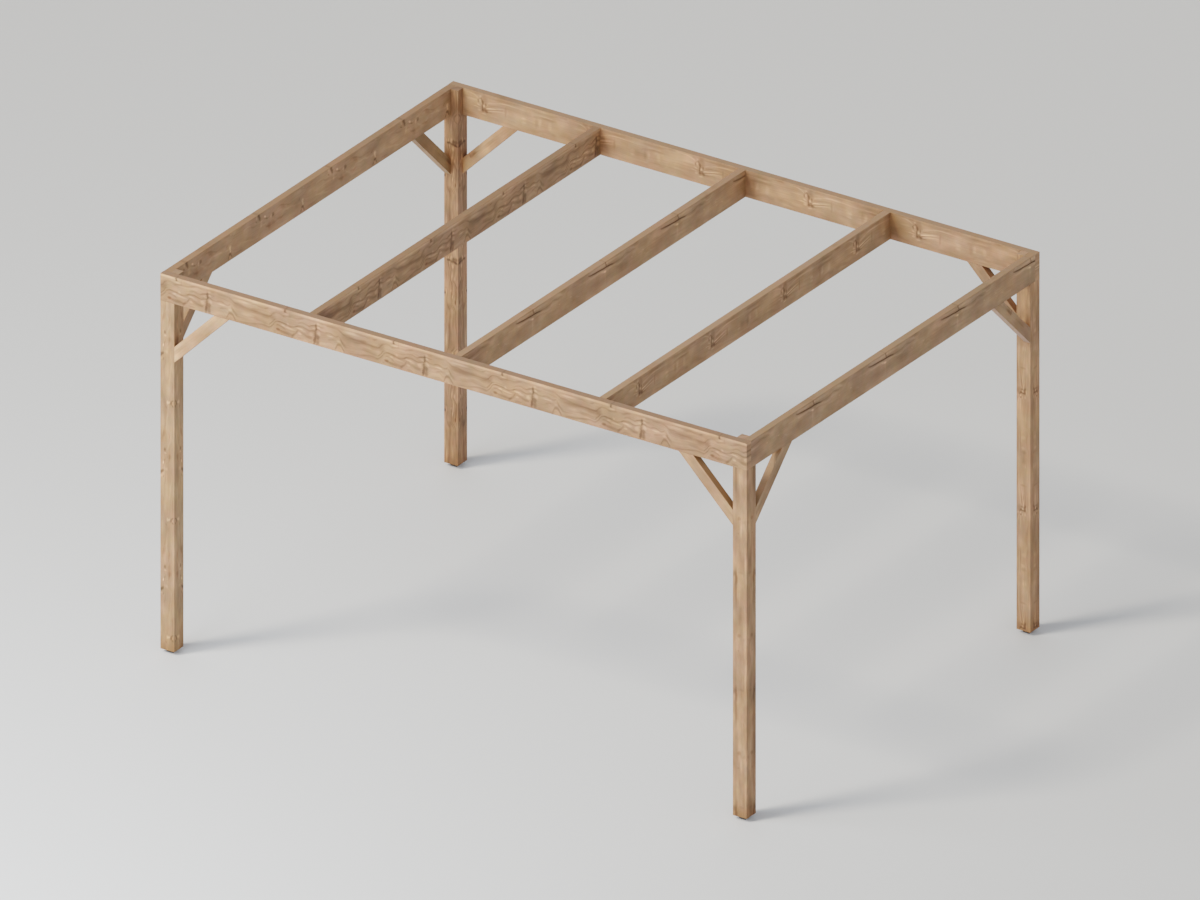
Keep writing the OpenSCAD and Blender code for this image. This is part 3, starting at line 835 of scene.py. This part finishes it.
# Knee braces: the long outer edge runs from the post up to the beam
for node, (start, tone) in BRACES.items():
    low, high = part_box(node)
    level = X if node.startswith(("front", "back")) else Y
    if node.endswith(("right", "back")):
        level = -level
    along = (level + Z).normalized()
    across = (Z - level).normalized()
    through = along.cross(across)
    reach = high.z - low.z
    values = {
        "Length": reach * math.sqrt(2),
        "Width": BRACE_WIDTH,
        "Depth": min(high.x - low.x, high.y - low.y),
        "Mitre": 1.0,
        "Grain start": start * MM,
        "Tone": tone,
        "Finish": finishes["plain"],
    }
    foot = corner(low, high, (level, through, Z))
    plant(node, values, across, through, along, foot)

for node in [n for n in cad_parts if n.startswith("pad_")]:
    low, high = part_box(node)
    size = high - low
    values = {"Length": size.z, "Width": size.x, "Depth": size.y, "Arris": PAD_ARRIS,
              "Finish": pad_finish}
    plant(node, values, X, Y, Z, low)


# ---------------------------------------------------------------- studio

def plain(name, code, roughness):
    """A flat, matt studio surface."""
    material = bpy.data.materials.new(name)
    material.use_nodes = True
    body = material.node_tree.nodes["Principled BSDF"]
    body.inputs["Base Color"].default_value = paint(code)
    body.inputs["Roughness"].default_value = roughness
    body.inputs["Specular IOR Level"].default_value = 0.2
    return material


HALF_FLOOR = 60.0
floor_mesh = bpy.data.meshes.new("studio_floor")
floor_mesh.from_pydata([(-HALF_FLOOR, -HALF_FLOOR, 0), (HALF_FLOOR, -HALF_FLOOR, 0),
                        (HALF_FLOOR, HALF_FLOOR, 0), (-HALF_FLOOR, HALF_FLOOR, 0)], [],
                       [(0, 1, 2, 3)])
floor = bpy.data.objects.new("studio_floor", floor_mesh)
scene.collection.objects.link(floor)
floor_mesh.materials.append(plain("matt grey studio floor", "#DADADA", 0.8))
floor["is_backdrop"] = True


def aim(thing, place, towards):
    """Puts a lamp or the camera at a place, looking towards a point."""
    scene.collection.objects.link(thing)
    thing.location = place
    thing.rotation_mode = "QUATERNION"
    thing.rotation_quaternion = (Vector(towards) - Vector(place)).to_track_quat("-Z", "Y")


def from_angles(azimuth, elevation):
    """The direction towards a point at that compass angle from +X and height, in degrees."""
    a, e = math.radians(azimuth), math.radians(elevation)
    return Vector((math.cos(e) * math.cos(a), math.cos(e) * math.sin(a), math.sin(e)))


key = bpy.data.lights.new("key", "SUN")
key.energy = 2.06
key.color = paint("#FFF6E6")[:3]
key.angle = math.radians(12.5)
aim(bpy.data.objects.new("key", key), from_angles(-126.6, 51.2) * 10, (0, 0, 0))

SOFTBOXES = {
    "high_front_left": ((-4, -7, 6), (0, 0, 0.5), (6.5, 6.5), 700),
    "front": ((0, -8, 2.5), (0, 0, 1), (5, 3), 198),
    "front_left": ((-5, -7, 3), (0, 0, 0.5), (5, 3), 39),
}
for name, (place, towards, size, power) in SOFTBOXES.items():
    lamp = bpy.data.lights.new(name, "AREA")
    lamp.shape = "RECTANGLE"
    lamp.size, lamp.size_y = size
    lamp.energy = power
    lamp.color = paint("#F6FBFF")[:3]
    box = bpy.data.objects.new(name, lamp)
    aim(box, place, towards)
    box.visible_camera = False

world = bpy.data.worlds.new("studio")
world.use_nodes = True
scene.world = world
sky = world.node_tree
sky.nodes.clear()
outward = add(sky, "ShaderNodeTexCoord").outputs["Generated"]
glow = 0.0
# Soft light from overhead and from the sides: direction, where it starts, strength
for towards, edge, strength in (((0, 0, 1), 0.3, 0.31), ((1, 0, 0.15), 0.2, 0.43),
                                ((0.7, -0.7, 0), 0.5, 1.34), ((-0.7, 0.7, 0), 0.5, 2.03)):
    facing = add(sky, "ShaderNodeVectorMath", {0: outward, 1: Vector(towards).normalized()},
                 operation="DOT_PRODUCT")
    lobe = add(sky, "ShaderNodeMapRange", {"Value": facing.outputs["Value"], "From Min": edge,
                                           "To Max": strength}, interpolation_type="SMOOTHSTEP")
    glow = add(sky, "ShaderNodeMath", {0: lobe, 1: glow}, operation="ADD")
# Seen directly, beyond the floor, it is one plain pale grey
seen = add(sky, "ShaderNodeLightPath").outputs["Is Camera Ray"]
glow = add(sky, "ShaderNodeMix", {0: seen, 2: glow, 3: 0.62}, data_type="FLOAT")
backdrop = add(sky, "ShaderNodeBackground", {"Color": paint("#F4F9FF"), "Strength": glow})
add(sky, "ShaderNodeOutputWorld", {"Surface": backdrop})


# ---------------------------------------------------------------- camera and colour

VIEW_AZIMUTH = math.radians(33.672)
VIEW_ELEVATION = math.radians(25.926)
VIEW_WIDTH = 6.813
VIEW_DISTANCE = 14.0
right = Vector((math.cos(VIEW_AZIMUTH), math.sin(VIEW_AZIMUTH), 0))
back = Vector((math.sin(VIEW_AZIMUTH) * math.cos(VIEW_ELEVATION),
               -math.cos(VIEW_AZIMUTH) * math.cos(VIEW_ELEVATION), math.sin(VIEW_ELEVATION)))
up = back.cross(right)
centre = Vector((0, 0, 1.222)) - up * 0.0148
lens = bpy.data.cameras.new("camera")
lens.type = "ORTHO"
lens.ortho_scale = VIEW_WIDTH
lens.clip_end = 100
camera = bpy.data.objects.new("camera", lens)
aim(camera, centre + back * VIEW_DISTANCE, centre)
scene.camera = camera

scene.view_settings.view_transform = "Filmic"
scene.view_settings.look = "None"
scene.view_settings.exposure = 0.0
scene.view_settings.gamma = 1.0

low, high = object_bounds()
